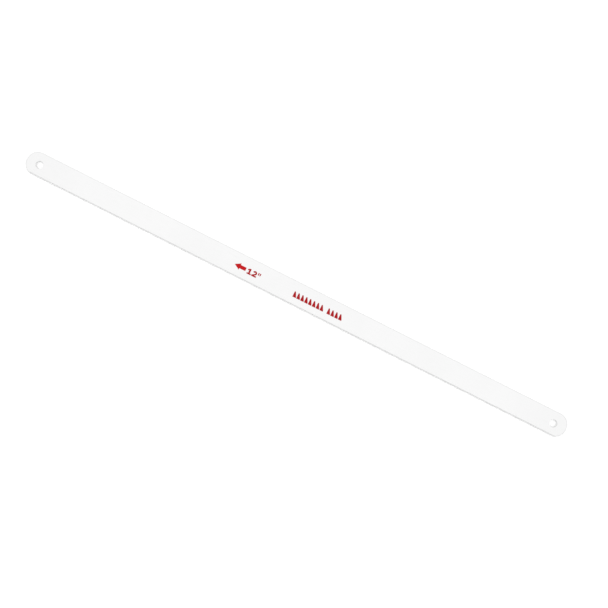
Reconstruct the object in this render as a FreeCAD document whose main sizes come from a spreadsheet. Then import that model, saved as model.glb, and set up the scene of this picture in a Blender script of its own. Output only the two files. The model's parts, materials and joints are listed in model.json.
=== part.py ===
import FreeCAD, Part
import math
import os

import Sketcher

# A hand hacksaw blade: one steel strip with a waved row of teeth, round ends and two pin holes.
# It lies flat. X runs along it, and the teeth cut towards -X. Y runs across it, with the teeth
# at -Y and the plain back at +Y. Z is its thickness, with the printed side up.
# The origin is midway between the pin holes, level with the lowest point of the tooth set.
# All lengths are in millimetres.

# Driving sizes: alias, value, meaning.
SIZES = [
    ("pin_spacing", 300.0, "centre to centre of the two pin holes"),
    ("end_margin", 7.4, "pin hole centre to the end of the blade"),
    ("blade_width", 12.7, "tooth tips to back edge"),
    ("end_radius_excess", 0.15, "how much the radius of the round ends exceeds half the width"),
    ("strip_thickness", 0.64, "thickness of the strip"),
    ("back_edge_radius", 0.12, "rounding of the rolled back edge"),
    ("pin_hole_dia", 4.0, "diameter of the pin holes"),
    ("hole_rim", 0.1, "width and depth of the slanting rim at each hole, on the printed side"),
    ("tooth_pitch", 1.411, "tip to tip, for 18 teeth to the inch"),
    ("tooth_depth", 0.7, "tip line to the bottom of the gullet"),
    ("gullet_radius", 0.25, "radius at the bottom of the gullet"),
    ("tip_land", 0.07, "flat at the tip of each tooth"),
    ("tooth_set", 0.2, "how far the waved teeth stand out on each side"),
    ("set_height", 1.9, "tip line to the line where the wave starts"),
    ("teeth_per_wave", 6, "teeth in one full wave of the set"),
]

# Lengths worked out from the driving sizes, as expressions for the document.
HALF_WIDTH = "(Sizes.blade_width / 2)"
HALF_THICKNESS = "(Sizes.strip_thickness / 2)"
BEND_LINE = f"({HALF_WIDTH} - Sizes.set_height)"
END_RADIUS = f"({HALF_WIDTH} + Sizes.end_radius_excess)"
END_CENTRE = f"(Sizes.pin_spacing / 2 + Sizes.end_margin - {END_RADIUS})"
WAVE_LENGTH = "(Sizes.teeth_per_wave * Sizes.tooth_pitch)"
WAVE_RADIUS = f"(({WAVE_LENGTH} ^ 2 / 16 + Sizes.tooth_set ^ 2) / (2 * Sizes.tooth_set))"
WAVE_COUNT = f"ceil((Sizes.pin_spacing + 2 * Sizes.end_margin) / {WAVE_LENGTH})"
STOCK_LENGTH = f"({WAVE_COUNT} * {WAVE_LENGTH})"
STOCK_START = f"(-{STOCK_LENGTH} / 2)"
# A tip stands at the lowest point of each wave, a quarter of the way along it.
FIRST_TIP = f"({STOCK_START} + mod({WAVE_LENGTH} / 4; Sizes.tooth_pitch))"
GULLET_COUNT = f"round({STOCK_LENGTH} / Sizes.tooth_pitch)"

# Flats that make the round bottom of a gullet, which keep within 0.01 mm of its radius.
GULLET_FLATS = 4

START, END, CENTRE = 1, 2, 3


def size_sheet(doc):
    """The spreadsheet of driving sizes, with an alias on each value."""
    sheet = doc.addObject("Spreadsheet::Sheet", "Sizes")
    for row, (alias, value, meaning) in enumerate(SIZES, start=1):
        sheet.set(f"A{row}", alias)
        sheet.set(f"B{row}", str(value))
        sheet.setAlias(f"B{row}", alias)
        sheet.set(f"C{row}", meaning)
    doc.recompute()
    return sheet


def origin_feature(body, role):
    """An origin plane or axis of the body."""
    return next(feature for feature in body.Origin.OriginFeatures if feature.Role == role)


class Outline:
    """A closed outline in a sketch of the body. Its points and radii are expressions of the sizes."""

    def __init__(self, body, name, plane, shift="0", offset="0"):
        self.sheet = body.Document.getObject("Sizes")
        self.sketch = body.newObject("Sketcher::SketchObject", name)
        self.sketch.AttachmentSupport = [(origin_feature(body, plane), "")]
        self.sketch.MapMode = "FlatFace"
        self.sketch.setExpression("AttachmentOffset.Base.x", shift)
        self.sketch.setExpression("AttachmentOffset.Base.z", offset)

    def value(self, expression):
        return float(self.sheet.evalExpression(expression))

    def point(self, position):
        return FreeCAD.Vector(self.value(position[0]), self.value(position[1]), 0)

    def line(self, start, end):
        return self.sketch.addGeometry(Part.LineSegment(self.point(start), self.point(end)))

    def arc(self, centre, radius, first_angle, last_angle):
        """A counter-clockwise arc, with its angles in degrees, whose radius follows the sizes."""
        circle = Part.Circle(self.point(centre), FreeCAD.Vector(0, 0, 1), self.value(radius))
        ends = (math.radians(first_angle), math.radians(last_angle))
        index = self.sketch.addGeometry(Part.ArcOfCircle(circle, *ends))
        self.drive("Radius", (index,), radius)
        return index

    def tie(self, kind, *references):
        self.sketch.addConstraint(Sketcher.Constraint(kind, *references))

    def drive(self, kind, references, expression):
        index = self.sketch.addConstraint(Sketcher.Constraint(kind, *references, self.value(expression)))
        self.sketch.setExpression(f"Constraints[{index}]", expression)

    def place(self, geometry, which, x=None, y=None):
        """Holds one point of a line or arc at the distances x and y from the sketch's origin."""
        for kind, expression in (("DistanceX", x), ("DistanceY", y)):
            if expression is not None:
                self.drive(kind, (-1, START, geometry, which), expression)

    def polygon(self, corners):
        """Straight lines from corner to corner, with every corner held in its place."""
        lines = [self.line(start, end) for start, end in zip(corners, corners[1:] + corners[:1])]
        for line, following, corner in zip(lines, lines[1:] + lines[:1], corners):
            self.tie("Coincident", line, END, following, START)
            self.place(line, START, *corner)


def strip(body):
    """The flat strip from the bend line to the back, whose two long edges are rolled round."""
    outline = Outline(body, "StripSection", "YZ_Plane")
    front = f"(-{BEND_LINE})"
    top, bottom = HALF_THICKNESS, f"(-{HALF_THICKNESS})"
    radius = "Sizes.back_edge_radius"
    round_start = f"({HALF_WIDTH} - {radius})"
    round_top, round_bottom = f"({top} - {radius})", f"({bottom} + {radius})"

    bend_side = outline.line((front, top), (front, bottom))
    lower_side = outline.line((front, bottom), (round_start, bottom))
    lower_round = outline.arc((round_start, round_bottom), radius, -90, 0)
    back = outline.line((HALF_WIDTH, round_bottom), (HALF_WIDTH, round_top))
    upper_round = outline.arc((round_start, round_top), radius, 0, 90)
    upper_side = outline.line((round_start, top), (front, top))

    outline.tie("Coincident", bend_side, END, lower_side, START)
    outline.tie("Tangent", lower_side, END, lower_round, START)
    outline.tie("Tangent", lower_round, END, back, START)
    outline.tie("Tangent", back, END, upper_round, START)
    outline.tie("Tangent", upper_round, END, upper_side, START)
    outline.tie("Coincident", upper_side, END, bend_side, START)
    outline.tie("Horizontal", lower_side)
    outline.tie("Vertical", back)
    outline.tie("Horizontal", upper_side)
    outline.place(bend_side, START, front, top)
    outline.place(bend_side, END, front, bottom)
    outline.place(back, START, x=HALF_WIDTH)

    pad = body.newObject("PartDesign::Pad", "Strip")
    pad.Profile = outline.sketch
    pad.SideType = "Symmetric"
    pad.setExpression("Length", STOCK_LENGTH)
    return pad


def flat_section(body):
    """One wave's length of the flat strip, cut along the bend line."""
    outline = Outline(body, "BendSection", "XZ_Plane", offset=BEND_LINE)
    middle, end = f"({STOCK_START} + {WAVE_LENGTH} / 2)", f"({STOCK_START} + {WAVE_LENGTH})"
    top, bottom = HALF_THICKNESS, f"(-{HALF_THICKNESS})"
    outline.polygon([
        (STOCK_START, bottom), (middle, bottom), (end, bottom),
        (end, top), (middle, top), (STOCK_START, top),
    ])
    return outline.sketch


def waved_section(body):
    """One wave at the tip line: a sag and a hump of equal arcs, which run smoothly into each other."""
    outline = Outline(body, "TipSection", "XZ_Plane", offset=HALF_WIDTH)
    middle, end = f"({STOCK_START} + {WAVE_LENGTH} / 2)", f"({STOCK_START} + {WAVE_LENGTH})"
    sag_centre = f"({STOCK_START} + {WAVE_LENGTH} / 4)"
    hump_centre = f"({STOCK_START} + 3 * {WAVE_LENGTH} / 4)"
    rise = f"({WAVE_RADIUS} - Sizes.tooth_set)"
    half_turn = math.degrees(math.asin(outline.value(f"{WAVE_LENGTH} / 4 / {WAVE_RADIUS}")))

    def wave_line(level):
        above, below = f"({level} + {rise})", f"({level} - {rise})"
        sag = outline.arc((sag_centre, above), WAVE_RADIUS, 270 - half_turn, 270 + half_turn)
        hump = outline.arc((hump_centre, below), WAVE_RADIUS, 90 - half_turn, 90 + half_turn)
        outline.tie("Coincident", sag, END, hump, END)
        outline.place(sag, START, STOCK_START, level)
        outline.place(sag, END, middle, level)
        outline.place(hump, START, end, level)
        return sag, hump

    top, bottom = HALF_THICKNESS, f"(-{HALF_THICKNESS})"
    lower_sag, lower_hump = wave_line(bottom)
    upper_sag, upper_hump = wave_line(top)
    end_side = outline.line((end, bottom), (end, top))
    start_side = outline.line((STOCK_START, top), (STOCK_START, bottom))
    outline.tie("Coincident", lower_hump, START, end_side, START)
    outline.tie("Coincident", end_side, END, upper_hump, START)
    outline.tie("Coincident", upper_sag, START, start_side, START)
    outline.tie("Coincident", start_side, END, lower_sag, START)
    return outline.sketch


def repeat_along(body, feature, name, spacing, count):
    """Repeats a feature along the strip."""
    pattern = body.newObject("PartDesign::LinearPattern", name)
    pattern.Originals = [feature]
    pattern.Direction = (origin_feature(body, "X_Axis"), [""])
    pattern.Mode = "Spacing"
    pattern.setExpression("Offset", spacing)
    pattern.setExpression("Occurrences", count)
    body.Tip = pattern
    return pattern


def waved_band(body):
    """The band of the strip that the set bends from side to side, more and more towards the tips."""
    loft = body.newObject("PartDesign::AdditiveLoft", "Wave")
    loft.Profile = flat_section(body)
    loft.Sections = [waved_section(body)]
    loft.Ruled = True
    body.Document.recompute()
    return repeat_along(body, loft, "Waves", WAVE_LENGTH, WAVE_COUNT)


def pin_holes(body):
    """The punched pin holes, with the slanting rim that the punch draws in on the printed side."""
    outline = Outline(body, "PinHoleSection", "XZ_Plane", shift="Sizes.pin_spacing / 2")
    radius = "(Sizes.pin_hole_dia / 2)"
    rim_edge = f"({radius} + Sizes.hole_rim)"
    wall_top = f"({HALF_THICKNESS} - Sizes.hole_rim)"
    above_strip, below_strip = "Sizes.strip_thickness", "(-Sizes.strip_thickness)"
    outline.polygon([
        ("0", below_strip), (radius, below_strip), (radius, wall_top),
        (rim_edge, HALF_THICKNESS), (rim_edge, above_strip), ("0", above_strip),
    ])

    hole = body.newObject("PartDesign::Groove", "PinHole")
    hole.Profile = outline.sketch
    hole.ReferenceAxis = (outline.sketch, ["V_Axis"])
    hole.Angle = 360
    body.Document.recompute()
    pair = body.newObject("PartDesign::Mirrored", "PinHoles")
    pair.Originals = [hole]
    pair.MirrorPlane = (origin_feature(body, "YZ_Plane"), [""])
    body.Tip = pair
    return pair


def through_pocket(body, outline, name):
    """A cut with straight walls, right through the strip."""
    pocket = body.newObject("PartDesign::Pocket", name)
    pocket.Profile = outline.sketch
    pocket.SideType = "Symmetric"
    pocket.Type = "ThroughAll"
    body.Document.recompute()
    return pocket


def gullets(body):
    """The gullets between the teeth: a sloping tooth back, a round bottom and an upright cutting face.
    A few flats, whose corners lie on the gullet's radius, make the round."""
    outline = Outline(body, "GulletOutline", "XY_Plane")
    radius = "Sizes.gullet_radius"
    tip_line = f"(-{HALF_WIDTH})"
    outside = f"({tip_line} - Sizes.tooth_depth)"
    back_edge = f"({FIRST_TIP} + Sizes.tip_land)"
    next_tip = f"({FIRST_TIP} + Sizes.tooth_pitch)"
    run = f"(Sizes.tooth_pitch - Sizes.tip_land - {radius})"
    rise = f"(Sizes.tooth_depth - {radius})"
    back_slope = f"(atan({rise} / {run}) + asin({radius} / sqrt({run} ^ 2 + {rise} ^ 2)))"

    def on_round(step):
        angle = f"((90 deg + {back_slope}) * {step} / {GULLET_FLATS})"
        x = f"({next_tip} - {radius} + {radius} * cos({angle}))"
        y = f"({tip_line} + {rise} + {radius} * sin({angle}))"
        return x, y

    round_bottom = [on_round(step) for step in range(GULLET_FLATS, -1, -1)]
    outline.polygon([(back_edge, tip_line), *round_bottom, (next_tip, outside), (back_edge, outside)])
    gullet = through_pocket(body, outline, "Gullet")
    return repeat_along(body, gullet, "Gullets", "Sizes.tooth_pitch", GULLET_COUNT)


def round_ends(body):
    """Crops the strip to length. The ends' radius is a little over half the width, which leaves
    the faint corner where each end meets the edges."""
    outline = Outline(body, "EndOutline", "XY_Plane")
    left_centre, below_teeth = f"(-{END_CENTRE})", f"(-{END_RADIUS})"
    far_left, far_right = f"(-{STOCK_LENGTH})", STOCK_LENGTH
    far_below, far_above = "(-Sizes.blade_width)", "Sizes.blade_width"
    outline.polygon([
        (far_left, far_below), (far_right, far_below), (far_right, far_above), (far_left, far_above),
    ])
    right = outline.arc((END_CENTRE, "0"), END_RADIUS, -90, 90)
    left = outline.arc((left_centre, "0"), END_RADIUS, 90, 270)
    upper = outline.line((END_CENTRE, END_RADIUS), (left_centre, END_RADIUS))
    lower = outline.line((left_centre, below_teeth), (END_CENTRE, below_teeth))
    outline.tie("Tangent", right, END, upper, START)
    outline.tie("Tangent", upper, END, left, START)
    outline.tie("Tangent", left, END, lower, START)
    outline.tie("Tangent", lower, END, right, START)
    outline.place(right, CENTRE, END_CENTRE, "0")
    outline.place(left, CENTRE, left_centre, "0")
    return through_pocket(body, outline, "RoundEnds")


def blade(doc):
    """The blade's one body, raised so that the set teeth touch the ground plane."""
    body = doc.addObject("PartDesign::Body", "Blade")
    body.Label = "blade"
    body.setExpression("Placement.Base.z", f"{HALF_THICKNESS} + Sizes.tooth_set")
    steps = [make(body) for make in (strip, waved_band, pin_holes, gullets, round_ends)]
    doc.recompute()
    return body, steps


def check(doc, body, steps):
    """Stops if a step failed, a cut took nothing away, or the blade isn't one sound solid."""
    for item in doc.Objects:
        if "Invalid" in item.State or "Error" in item.State:
            raise RuntimeError(f"{item.Name} failed: {item.State}")
    for before, after in zip(steps[1:], steps[2:]):
        if not after.Shape.Volume < before.Shape.Volume:
            raise RuntimeError(f"{after.Name} cut nothing")
    shape = body.Shape
    if shape.isNull() or not shape.isValid() or len(shape.Solids) != 1:
        raise RuntimeError(f"{body.Label} isn't one valid solid")


document = FreeCAD.newDocument("HacksawBlade")
size_sheet(document)
blade_body, blade_steps = blade(document)
check(document, blade_body, blade_steps)
os.makedirs("parts", exist_ok=True)
blade_body.Shape.exportStep(f"parts/{blade_body.Label}.step")
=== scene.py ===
import json
import math

import bpy
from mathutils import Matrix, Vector


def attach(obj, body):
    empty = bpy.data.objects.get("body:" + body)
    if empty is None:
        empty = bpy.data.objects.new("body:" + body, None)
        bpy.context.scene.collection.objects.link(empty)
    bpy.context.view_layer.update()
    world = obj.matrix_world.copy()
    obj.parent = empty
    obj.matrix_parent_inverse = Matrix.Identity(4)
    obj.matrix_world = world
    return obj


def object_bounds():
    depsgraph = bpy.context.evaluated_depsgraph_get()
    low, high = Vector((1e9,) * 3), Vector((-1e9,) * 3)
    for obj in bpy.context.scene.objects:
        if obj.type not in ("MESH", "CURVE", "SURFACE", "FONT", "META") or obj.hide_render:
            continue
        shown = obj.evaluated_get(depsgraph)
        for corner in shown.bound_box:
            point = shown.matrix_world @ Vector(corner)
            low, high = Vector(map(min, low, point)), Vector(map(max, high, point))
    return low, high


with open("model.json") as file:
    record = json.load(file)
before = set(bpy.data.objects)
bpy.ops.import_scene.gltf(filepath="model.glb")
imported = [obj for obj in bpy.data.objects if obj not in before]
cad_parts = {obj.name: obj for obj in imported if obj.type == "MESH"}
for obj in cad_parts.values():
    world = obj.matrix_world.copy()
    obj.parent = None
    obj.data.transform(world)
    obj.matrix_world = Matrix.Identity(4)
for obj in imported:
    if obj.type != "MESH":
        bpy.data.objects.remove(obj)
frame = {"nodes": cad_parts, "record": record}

bpy.context.view_layer.update()
cad_low, cad_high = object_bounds()

# Sizes of the blade in millimetres, from the box and the pin holes in the frame
MM = 0.001
MOUNTS = {mount["name"]: mount for mount in frame["record"]["mounts"]}
PIN_AT = MOUNTS["pin_hole_rear"]["pos_m"][0] / MM
PIN_RADIUS = MOUNTS["pin_hole_rear"]["dims"]["r_mm"]
HALF_WIDTH = cad_high[1] / MM
END_EXCESS = 0.15
END_RADIUS = HALF_WIDTH + END_EXCESS
END_CENTRE = cad_high[0] / MM - END_RADIUS
TOOTH_SET = 0.2
FACE_HEIGHT = cad_high[2] / MM - TOOTH_SET

# How far from the centre line, towards the teeth, the enamel ends and the tips are ground bright
ENAMEL_END = 5.50
BRIGHT_FROM = 5.85
BRIGHT_AT = 6.15


# Shaders

# Places of the colour sockets on a Mix node
MIX_SHARE = 0
MIX_BASE = 6
MIX_LAYER = 7
MIX_RESULT = 2


class Shader:
    """The nodes of a material or a world, made one call at a time."""

    def __init__(self, owner):
        owner.use_nodes = True
        self.tree = owner.node_tree
        self.tree.nodes.clear()

    def feed(self, socket, value):
        if isinstance(value, bpy.types.NodeSocket):
            self.tree.links.new(value, socket)
        else:
            socket.default_value = value

    def node(self, kind, inputs=None, **settings):
        made = self.tree.nodes.new(kind)
        for key, value in settings.items():
            setattr(made, key, value)
        for key, value in (inputs or {}).items():
            self.feed(made.inputs[key], value)
        return made

    def maths(self, operation, *values):
        made = self.node("ShaderNodeMath", operation=operation)
        for socket, value in zip(made.inputs, values):
            self.feed(socket, value)
        return made.outputs[0]

    def plus(self, first, second):
        return self.maths("ADD", first, second)

    def minus(self, first, second):
        return self.maths("SUBTRACT", first, second)

    def times(self, first, second):
        return self.maths("MULTIPLY", first, second)

    def larger(self, first, second):
        return self.maths("MAXIMUM", first, second)

    def smaller(self, first, second):
        return self.maths("MINIMUM", first, second)

    def length(self, first, second):
        """The length of a vector, from its two parts."""
        return self.maths("SQRT", self.plus(self.times(first, first), self.times(second, second)))

    def total(self, *pairs):
        """The sum of the products of the pairs."""
        result = 0.0
        for first, second in pairs:
            result = self.maths("MULTIPLY_ADD", first, second, result)
        return result

    def step(self, value, low, high):
        """0 at low, 1 at high, smooth between."""
        made = self.node("ShaderNodeMapRange", interpolation_type="SMOOTHSTEP")
        for socket, number in zip(made.inputs, (value, low, high, 0.0, 1.0)):
            self.feed(socket, number)
        return made.outputs[0]

    def spread(self, value, low, high):
        """A value from 0 to 1 laid out from low to high."""
        made = self.node("ShaderNodeMapRange")
        for socket, number in zip(made.inputs, (value, 0.0, 1.0, low, high)):
            self.feed(socket, number)
        return made.outputs[0]

    def layered(self, base, *layers):
        """A base colour under layers, each with its share from 0 to 1 and its colour."""
        for share, colour in layers:
            made = self.node("ShaderNodeMix", data_type="RGBA")
            self.feed(made.inputs[MIX_SHARE], share)
            self.feed(made.inputs[MIX_BASE], base)
            self.feed(made.inputs[MIX_LAYER], colour)
            base = made.outputs[MIX_RESULT]
        return base

    def noise(self, vector, scale, detail=2.0, roughness=0.5):
        """scale is in cells per millimetre, where the vector is in millimetres."""
        made = self.node("ShaderNodeTexNoise", {
            "Vector": vector, "Scale": scale, "Detail": detail, "Roughness": roughness})
        return made.outputs["Fac"]

    def millimetres(self):
        """The point's place on the object, in millimetres."""
        place = self.node("ShaderNodeTexCoord").outputs["Object"]
        made = self.node("ShaderNodeVectorMath", operation="SCALE")
        self.feed(made.inputs[0], place)
        self.feed(made.inputs["Scale"], 1 / MM)
        return made.outputs[0]

    def stretched(self, vector, x, y, z):
        made = self.node("ShaderNodeVectorMath", operation="MULTIPLY")
        self.feed(made.inputs[0], vector)
        made.inputs[1].default_value = (x, y, z)
        return made.outputs[0]

    def axis(self, vector, name):
        return self.node("ShaderNodeSeparateXYZ", {"Vector": vector}).outputs[name]

    def bump(self, height):
        """height is in millimetres."""
        return self.node("ShaderNodeBump", {
            "Strength": 1.0, "Distance": MM, "Height": height}).outputs[0]

    def surface(self, shader, kind="ShaderNodeOutputMaterial"):
        output = self.node(kind)
        self.tree.links.new(shader, output.inputs["Surface"])


def grey(tone):
    return (tone, tone, tone, 1)


def seen_background(s):
    """1 for what the camera, a reflection or a refraction sees, 0 for light that falls on things."""
    path = s.node("ShaderNodeLightPath")
    seen = s.larger(path.outputs["Is Camera Ray"], path.outputs["Is Glossy Ray"])
    return s.larger(seen, path.outputs["Is Transmission Ray"])


def edge_distances(s, along, toward_teeth):
    """How far inside the outline and outside the nearer hole a point lies, and how much it lies
    on the hole's outward side: 1 straight outward of it, -1 straight inward."""
    from_side = s.minus(HALF_WIDTH, s.maths("ABSOLUTE", toward_teeth))
    past_centre = s.larger(s.minus(along, END_CENTRE), 0.0)
    from_end = s.minus(END_RADIUS, s.length(past_centre, toward_teeth))
    from_pin = s.minus(along, PIN_AT)
    from_axis = s.length(from_pin, toward_teeth)
    outward = s.maths("DIVIDE", from_pin, from_axis)
    return s.smaller(from_side, from_end), s.minus(from_axis, PIN_RADIUS), outward


def enamelled_steel(material):
    """White enamel on hardened steel, with bare metal along the teeth, thin paint at every edge, and
    painted shade along the outline, on the outward rims of the holes and towards the ends.
    """
    s = Shader(material)
    place = s.millimetres()
    along = s.maths("ABSOLUTE", s.axis(place, "X"))
    toward_teeth = s.times(s.axis(place, "Y"), -1.0)
    from_outline, from_hole, outward = edge_distances(s, along, toward_teeth)

    cloud = s.noise(place, 0.03, 2.0)
    patch = s.noise(place, 0.35, 3.0)
    speckle = s.noise(place, 2.4, 3.0, 0.6)
    grain = s.noise(place, 11.0, 2.0)
    scratch = s.noise(s.stretched(place, 0.25, 6.0, 2.0), 1.6, 4.0, 0.65)
    rolled = s.noise(s.stretched(place, 0.10, 4.0, 1.0), 1.2, 3.0, 0.6)
    pinhole = s.step(s.noise(place, 4.0, 1.0), 0.71, 0.77)

    # the enamel ends in an uneven line above the gullets
    wander = s.plus(s.spread(patch, -0.12, 0.12), s.spread(speckle, -0.06, 0.06))
    below_enamel = s.plus(s.minus(toward_teeth, ENAMEL_END), wander)
    bare = s.step(below_enamel, 0.0, 0.10)
    chip = s.times(s.step(s.smaller(from_outline, from_hole), 0.10, 0.02), s.step(speckle, 0.60, 0.66))
    metal = s.larger(bare, chip)
    painted = s.minus(1.0, metal)

    # it is thin along the outline and just above where it ends; along the outline it is also darkened
    # as painted shade of the rounded edge, and on the outward rims of the holes it is darkened as
    # painted shade in the holes
    # thin paint and painted shade along the rounded outline
    thin_and_shaded_outline = s.times(s.step(from_outline, 0.60, 0.05), s.spread(patch, 0.35, 0.95))
    # painted shade in the holes, darkest on their outward rims
    painted_rim_shade = s.times(s.step(from_hole, 0.30, 0.05), s.step(outward, -0.30, 0.80))
    thin_end = s.times(s.step(below_enamel, -0.25, 0.05), s.spread(speckle, 0.2, 0.8))
    thin_paint_and_shade = s.larger(thin_and_shaded_outline, s.larger(painted_rim_shade, thin_end))

    # the enamel is cloudy, with painted shade darker towards the ends, and shows rolling lines,
    # pinholes, thin places and painted shade at its edges and hole rims
    enamel = s.layered(
        grey(0.940),
        (s.step(cloud, 0.35, 0.65), grey(0.960)),
        (s.spread(patch, 0.0, 0.5), grey(0.939)),
        # painted shade: greyer towards the ends, where the light falls off
        (s.step(along, 112.0, 158.0), grey(0.918)),
        (s.times(s.step(rolled, 0.42, 0.70), 0.4), grey(0.890)),
        (s.times(pinhole, 0.4), grey(0.720)),
        # thin paint, and painted shade along the outline and on the hole rims
        (s.times(thin_paint_and_shade, 0.6), grey(0.600)))

    # the steel is duller on its level faces, scratched and cloudy, and bright at the tips
    up_or_down = s.maths("ABSOLUTE", s.axis(s.node("ShaderNodeNewGeometry").outputs["Normal"], "Z"))
    steel = s.layered(
        grey(0.84),
        (s.step(up_or_down, 0.75, 0.90), grey(0.73)),
        (s.spread(scratch, 0.0, 0.5), grey(0.74)),
        (s.spread(cloud, 0.0, 0.4), grey(0.62)),
        (s.step(toward_teeth, BRIGHT_FROM, BRIGHT_AT), grey(0.93)))

    # how high each of these stands, in millimetres
    height = s.total(
        (painted, 0.018),
        (speckle, 0.0022),
        (rolled, 0.0030),
        (grain, 0.0006),
        (s.times(scratch, metal), 0.004))
    enamel_roughness = s.plus(s.spread(patch, 0.30, 0.42), s.times(thin_paint_and_shade, 0.12))
    steel_roughness = s.spread(scratch, 0.28, 0.46)

    look = s.node("ShaderNodeBsdfPrincipled", {
        "Base Color": s.layered(enamel, (metal, steel)),
        "Metallic": metal,
        "Roughness": s.total((painted, enamel_roughness), (metal, steel_roughness)),
        "Normal": s.bump(height)})
    s.surface(look.outputs[0])


# The blade itself

enamelled_steel(frame["nodes"]["blade"].material_slots[0].material)


# The print on the upper face, in millimetres

INK_HEIGHT = 3.1
INK_THICKNESS = 0.010
INK_SUNK = 0.004
INK_LEVEL = -0.5 - INK_HEIGHT / 2
ARROW_AT = -35.1
DIGITS_AT = -27.55
DIGIT_PITCH = 2.65
INCH_AT = -21.8
LONG_ROW_AT = -0.6
SHORT_ROW_AT = 19.2
MARK_PITCH = 2.25


def red_print():
    """Thin, matt red ink, darker in the digits and the tooth marks than in the arrow."""
    material = bpy.data.materials.new("red_print")
    s = Shader(material)
    place = s.millimetres()
    patch = s.noise(place, 0.8, 3.0)
    speckle = s.noise(place, 6.0, 3.0, 0.6)
    right_of_arrow = s.step(s.axis(place, "X"), DIGITS_AT - 0.85, DIGITS_AT - 0.15)
    ink = s.layered(
        (0.58, 0.007, 0.010, 1),
        (s.step(patch, 0.35, 0.70), (0.51, 0.006, 0.009, 1)),
        (right_of_arrow, (0.42, 0.008, 0.012, 1)),
        (s.step(speckle, 0.66, 0.74), (0.70, 0.12, 0.12, 1)))
    look = s.node("ShaderNodeBsdfPrincipled", {
        "Base Color": ink,
        "Roughness": s.spread(speckle, 0.55, 0.80),
        "Specular IOR Level": 0.15,
        "Normal": s.bump(s.times(speckle, 0.003))})
    s.surface(look.outputs[0])
    return material


def arc(centre, radius, start, end, count):
    """Points along an arc, angles in degrees."""
    turned = [math.radians(start + (end - start) * k / count) for k in range(count + 1)]
    return [(centre[0] + radius * math.cos(t), centre[1] + radius * math.sin(t)) for t in turned]


# an arrow that points the way the teeth cut
ARROW = [(0, 1.7), (3.1, 3.5), (3.1, 2.65), (6.5, 2.65), (6.5, 0.75), (3.1, 0.75), (3.1, -0.1)]

# the digit 1, with a flag and a foot
ONE = [(0, 0), (2.35, 0), (2.35, 0.72), (1.67, 0.72), (1.67, INK_HEIGHT), (0.92, INK_HEIGHT),
       (0, 2.60), (0, 1.85), (0.72, 2.13), (0.72, 0.72), (0, 0.72)]

# the digit 2: a bowl, a slanting stroke and a base
BOWL = (1.40, 2.02)
TWO = (arc(BOWL, 1.18, 168, -40, 20) + [(1.45, 0.74), (2.8, 0.74), (2.8, 0), (0, 0), (0, 0.64)]
       + arc(BOWL, 0.34, -44, 168, 16))

# two strokes for the inch
STROKE = [(0, INK_HEIGHT), (0.70, INK_HEIGHT), (0.57, 1.7), (0.13, 1.7)]

# a saw tooth, upright on the side that cuts
MARK = [(0, 0), (1.9, 0), (1.9, 0.5), (0.6, INK_HEIGHT), (0, INK_HEIGHT)]


def repeated(outline, pitch, count):
    return [[(x + pitch * k, y) for x, y in outline] for k in range(count)]


def flat_shapes(name, outlines, start, material):
    """Thin flat shapes on the face, one for each outline, from start along the blade."""
    points, faces = [], []
    for outline in outlines:
        first, count = len(points), len(outline)
        for level in (FACE_HEIGHT - INK_SUNK, FACE_HEIGHT + INK_THICKNESS):
            points += [((start + x) * MM, (INK_LEVEL + y) * MM, level * MM) for x, y in outline]
        faces.append(tuple(range(first + count, first + 2 * count)))
        faces.append(tuple(range(first + count - 1, first - 1, -1)))
        for k in range(count):
            after = (k + 1) % count
            faces.append((first + k, first + after, first + count + after, first + count + k))
    mesh = bpy.data.meshes.new(name)
    mesh.from_pydata(points, [], faces)
    mesh.validate()
    mesh.materials.append(material)
    piece = bpy.data.objects.new(name, mesh)
    bpy.context.scene.collection.objects.link(piece)
    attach(piece, "root")


ink = red_print()
flat_shapes("print_arrow", [ARROW], ARROW_AT, ink)
flat_shapes("print_digit_1", [ONE], DIGITS_AT, ink)
flat_shapes("print_digit_2", [TWO], DIGITS_AT + DIGIT_PITCH, ink)
flat_shapes("print_inch", repeated(STROKE, 0.92, 2), INCH_AT, ink)
flat_shapes("print_marks_long", repeated(MARK, MARK_PITCH, 8), LONG_ROW_AT, ink)
flat_shapes("print_marks_short", repeated(MARK, MARK_PITCH, 4), SHORT_ROW_AT, ink)


# Ground, light and camera, in metres

GROUND_SIZE = 8.0
NEAR_GLOW = 0.17
FAR_GLOW = 0.50
WORLD_STRENGTH = 0.80
LAMP_ASIDE = 1.10
LAMP_BACK = 0.15
LAMP_HEIGHT = 0.60
LAMP_SIZE = 0.50
LAMP_POWER = 3.4
SENSOR_WIDTH = 36.0
LENS = 136.336
CAMERA_DISTANCE = 1.2
CAMERA_AZIMUTH = math.radians(26.805)
CAMERA_ELEVATION = math.radians(85.0)
AIM = Vector((0.00661, -0.00283, FACE_HEIGHT * MM))


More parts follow.
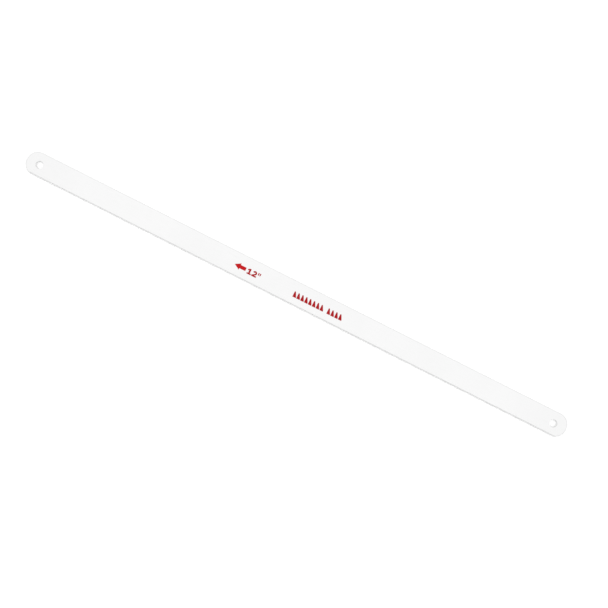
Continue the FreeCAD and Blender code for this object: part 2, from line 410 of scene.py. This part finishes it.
def paper():
    """A white ground that shows white where nothing shades it."""
    material = bpy.data.materials.new("paper")
    s = Shader(material)
    place = s.millimetres()
    tone = s.layered(grey(0.965), (s.noise(place, 0.02, 2.0), grey(0.975)))
    diffuse = s.node("ShaderNodeBsdfDiffuse", {"Color": tone})

    # the ground's own glow grows with the distance from the blade, in millimetres
    along = s.axis(place, "X")
    across = s.axis(place, "Y")
    glow = s.spread(s.step(s.length(along, across), 220.0, 900.0), NEAR_GLOW, FAR_GLOW)

    # the blade shades what shows through its holes, most on their outward sides
    from_spot = s.length(s.minus(s.maths("ABSOLUTE", along), PIN_AT - 0.3), across)
    shade = s.times(s.step(from_spot, 0.7, PIN_RADIUS), s.step(from_spot, 4.5, 3.5))
    glow = s.times(glow, s.spread(shade, 1.0, 0.45))

    emission = s.node("ShaderNodeEmission", {
        "Color": grey(1.0), "Strength": s.times(seen_background(s), glow)})
    both = s.node("ShaderNodeAddShader")
    s.feed(both.inputs[0], diffuse.outputs[0])
    s.feed(both.inputs[1], emission.outputs[0])
    s.surface(both.outputs[0])
    return material


bpy.ops.mesh.primitive_plane_add(size=GROUND_SIZE, location=(0, 0, 0))
ground = bpy.context.object
ground.name = "ground"
ground.data.materials.append(paper())

world = bpy.data.worlds.new("soft_room")
bpy.context.scene.world = world
room = Shader(world)
sky = room.node("ShaderNodeBackground", {
    "Color": grey(1.0), "Strength": room.spread(seen_background(room), WORLD_STRENGTH, 1.0)})
room.surface(sky.outputs[0], "ShaderNodeOutputWorld")


def placed(name, data, place, target):
    """An object at a place, which looks at a target."""
    made = bpy.data.objects.new(name, data)
    made.location = place
    made.rotation_mode = "QUATERNION"
    made.rotation_quaternion = (target - place).to_track_quat("-Z", "Y")
    bpy.context.scene.collection.objects.link(made)
    return made


for name, side in (("lamp_left", -1), ("lamp_right", 1)):
    light = bpy.data.lights.new(name, "AREA")
    light.shape = "SQUARE"
    light.size = LAMP_SIZE
    light.energy = LAMP_POWER
    placed(name, light, Vector((side * LAMP_ASIDE, LAMP_BACK, LAMP_HEIGHT)), Vector((0, 0, 0)))

camera_data = bpy.data.cameras.new("camera")
camera_data.sensor_width = SENSOR_WIDTH
camera_data.lens = LENS
camera_data.clip_start = 0.1
camera_data.clip_end = 20.0
toward_camera = Vector((math.sin(CAMERA_AZIMUTH) * math.cos(CAMERA_ELEVATION),
                        -math.cos(CAMERA_AZIMUTH) * math.cos(CAMERA_ELEVATION),
                        math.sin(CAMERA_ELEVATION)))
bpy.context.scene.camera = placed("camera", camera_data, AIM + toward_camera * CAMERA_DISTANCE, AIM)

bpy.context.scene.view_settings.view_transform = "Standard"
